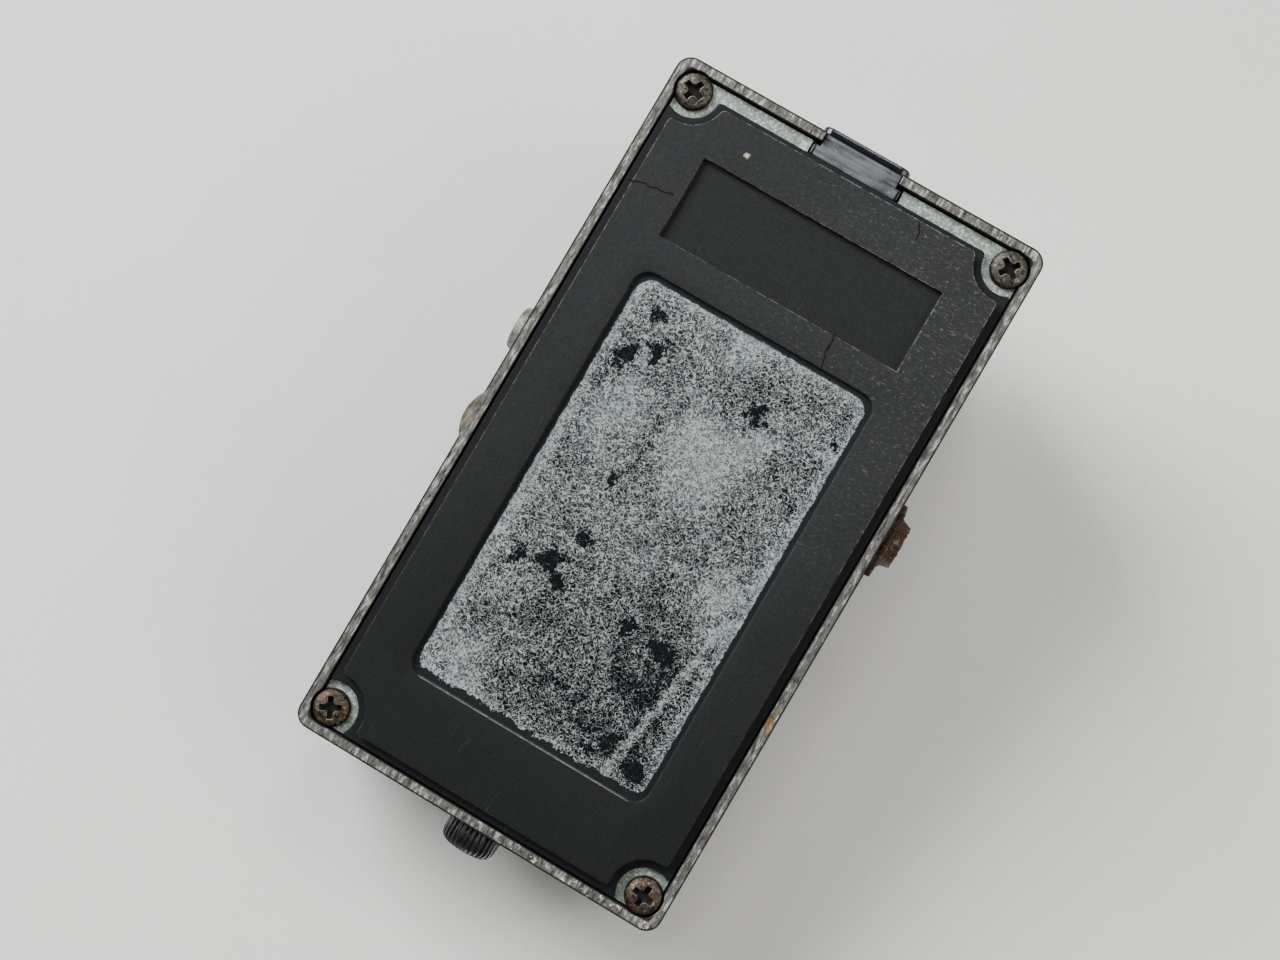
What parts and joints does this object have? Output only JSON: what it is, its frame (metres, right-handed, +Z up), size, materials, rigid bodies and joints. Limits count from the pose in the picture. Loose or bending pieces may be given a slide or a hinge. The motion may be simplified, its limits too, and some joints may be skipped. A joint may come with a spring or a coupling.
{
  "type": "guitar effects pedal",
  "caption": "Compact foot-operated audio effects pedal: cast housing, sprung hinged treadle, three knobs, side jack sockets, rear supply socket and rubber base.",
  "frame": {"origin": "centre of the housing's length and width on the plane of the rubber base's lower face, which is the floor", "axes": "+Z up from the floor; +Y towards the supply socket at the rear; -Y towards the thumbscrew and the player; +X to the player's right, the input jack's side"},
  "size_m": [0.073, 0.1297, 0.059],
  "materials": {
    "painted_casting": "charcoal paint over die-cast aluminium, bare at the rim",
    "zinc_plate": "dull zinc plating",
    "black_rubber": "matt, scuffed and dusty",
    "label_residue": "crackled remains of an adhesive film",
    "rusty_steel": "browned and rusty",
    "nylon": "natural nylon",
    "foam": "closed-cell foam",
    "battery_jacket": "plain printed steel jacket",
    "black_plastic": "matt moulded",
    "gloss_black_plastic": "glossy moulded",
    "lead_insulation": "PVC insulation",
    "circuit_board": "phenolic laminate",
    "plated_steel": "nickel plated",
    "insulating_card": "fibre card",
    "bright_metal": "polished",
    "red_lamp": "clear red resin"
  },
  "bodies": {
    "housing": {"body_casting": "painted_casting", "bottom_plate": "zinc_plate", "base_rubber": "black_rubber", "label_residue": "label_residue", "bottom_screws": "rusty_steel", "hinge_bushes": "nylon", "battery_pad": "foam", "battery": "battery_jacket", "battery_snap": "black_plastic", "battery_leads": "lead_insulation", "lead_grommet": "black_rubber", "switch_board": "circuit_board", "switch_board_screws": "plated_steel", "tact_switch": "black_plastic", "switch_leads": "lead_insulation", "insulating_sheet": "insulating_card", "main_board": "circuit_board", "board_screws": "plated_steel", "board_components": "black_plastic", "input_jack": "black_plastic", "input_jack_contacts": "plated_steel", "output_jack": "black_plastic", "output_jack_contacts": "plated_steel", "jack_bushings": "rusty_steel", "jack_washers": "rusty_steel", "jack_nuts": "rusty_steel", "supply_socket": "gloss_black_plastic", "supply_pin": "plated_steel", "supply_tags": "plated_steel", "control_board": "circuit_board", "left_pot": "plated_steel", "centre_pot": "plated_steel", "right_pot": "plated_steel", "pot_washers": "plated_steel", "pot_nuts": "plated_steel", "lamp_bezel": "bright_metal", "status_lamp": "red_lamp", "board_link": "lead_insulation", "treadle_spring": "plated_steel"},
    "treadle": {"treadle": "painted_casting", "treadle_rubber": "black_rubber", "guide_bush": "nylon", "switch_foot": "black_rubber", "hinge_pins": "plated_steel"},
    "thumbscrew_slider": {"thumbscrew_washer": "nylon"},
    "thumbscrew": {"thumbscrew": "gloss_black_plastic"},
    "switch_plunger": {"switch_plunger": "black_plastic"},
    "left_knob": {"left_shaft": "plated_steel", "left_knob": "black_plastic"},
    "centre_knob": {"centre_shaft": "plated_steel", "centre_knob": "black_plastic"},
    "right_knob": {"right_shaft": "plated_steel", "right_knob": "black_plastic"}
  },
  "joints": [
    {"name": "treadle_hinge", "type": "hinge", "parent": "housing", "child": "treadle", "pos_m": [0, 0, 0.033], "axis": [-1, 0, 0], "range_deg": [-2.5, 80], "stiffness_Nm_per_rad": 0.3, "springref_deg": 2.29, "deforming": ["treadle_spring"]},
    {"name": "thumbscrew_slide", "type": "slide", "parent": "housing", "child": "thumbscrew_slider", "axis": [0, 1, 0], "range_m": [0, 0.004]},
    {"name": "thumbscrew_turn", "type": "hinge", "parent": "thumbscrew_slider", "child": "thumbscrew", "pos_m": [0, -0.0613, 0.015], "axis": [0, 1, 0], "range_deg": [0, 2057.14]},
    {"name": "plunger_press", "type": "slide", "parent": "housing", "child": "switch_plunger", "axis": [0, 0, -1], "range_m": [0, 0.0003], "stiffness_N_per_m": 500},
    {"name": "left_knob_turn", "type": "hinge", "parent": "housing", "child": "left_knob", "pos_m": [-0.019, 0.0373, 0.045], "axis": [0, 0, -1], "range_deg": [-150, 150]},
    {"name": "centre_knob_turn", "type": "hinge", "parent": "housing", "child": "centre_knob", "pos_m": [0, 0.0373, 0.045], "axis": [0, 0, -1], "range_deg": [-150, 150]},
    {"name": "right_knob_turn", "type": "hinge", "parent": "housing", "child": "right_knob", "pos_m": [0.019, 0.0373, 0.045], "axis": [0, 0, -1], "range_deg": [-150, 150]}
  ],
  "couplings": [
    {"joint": "thumbscrew_turn", "follows": "thumbscrew_slide", "rad_per_m": 8976}
  ]
}
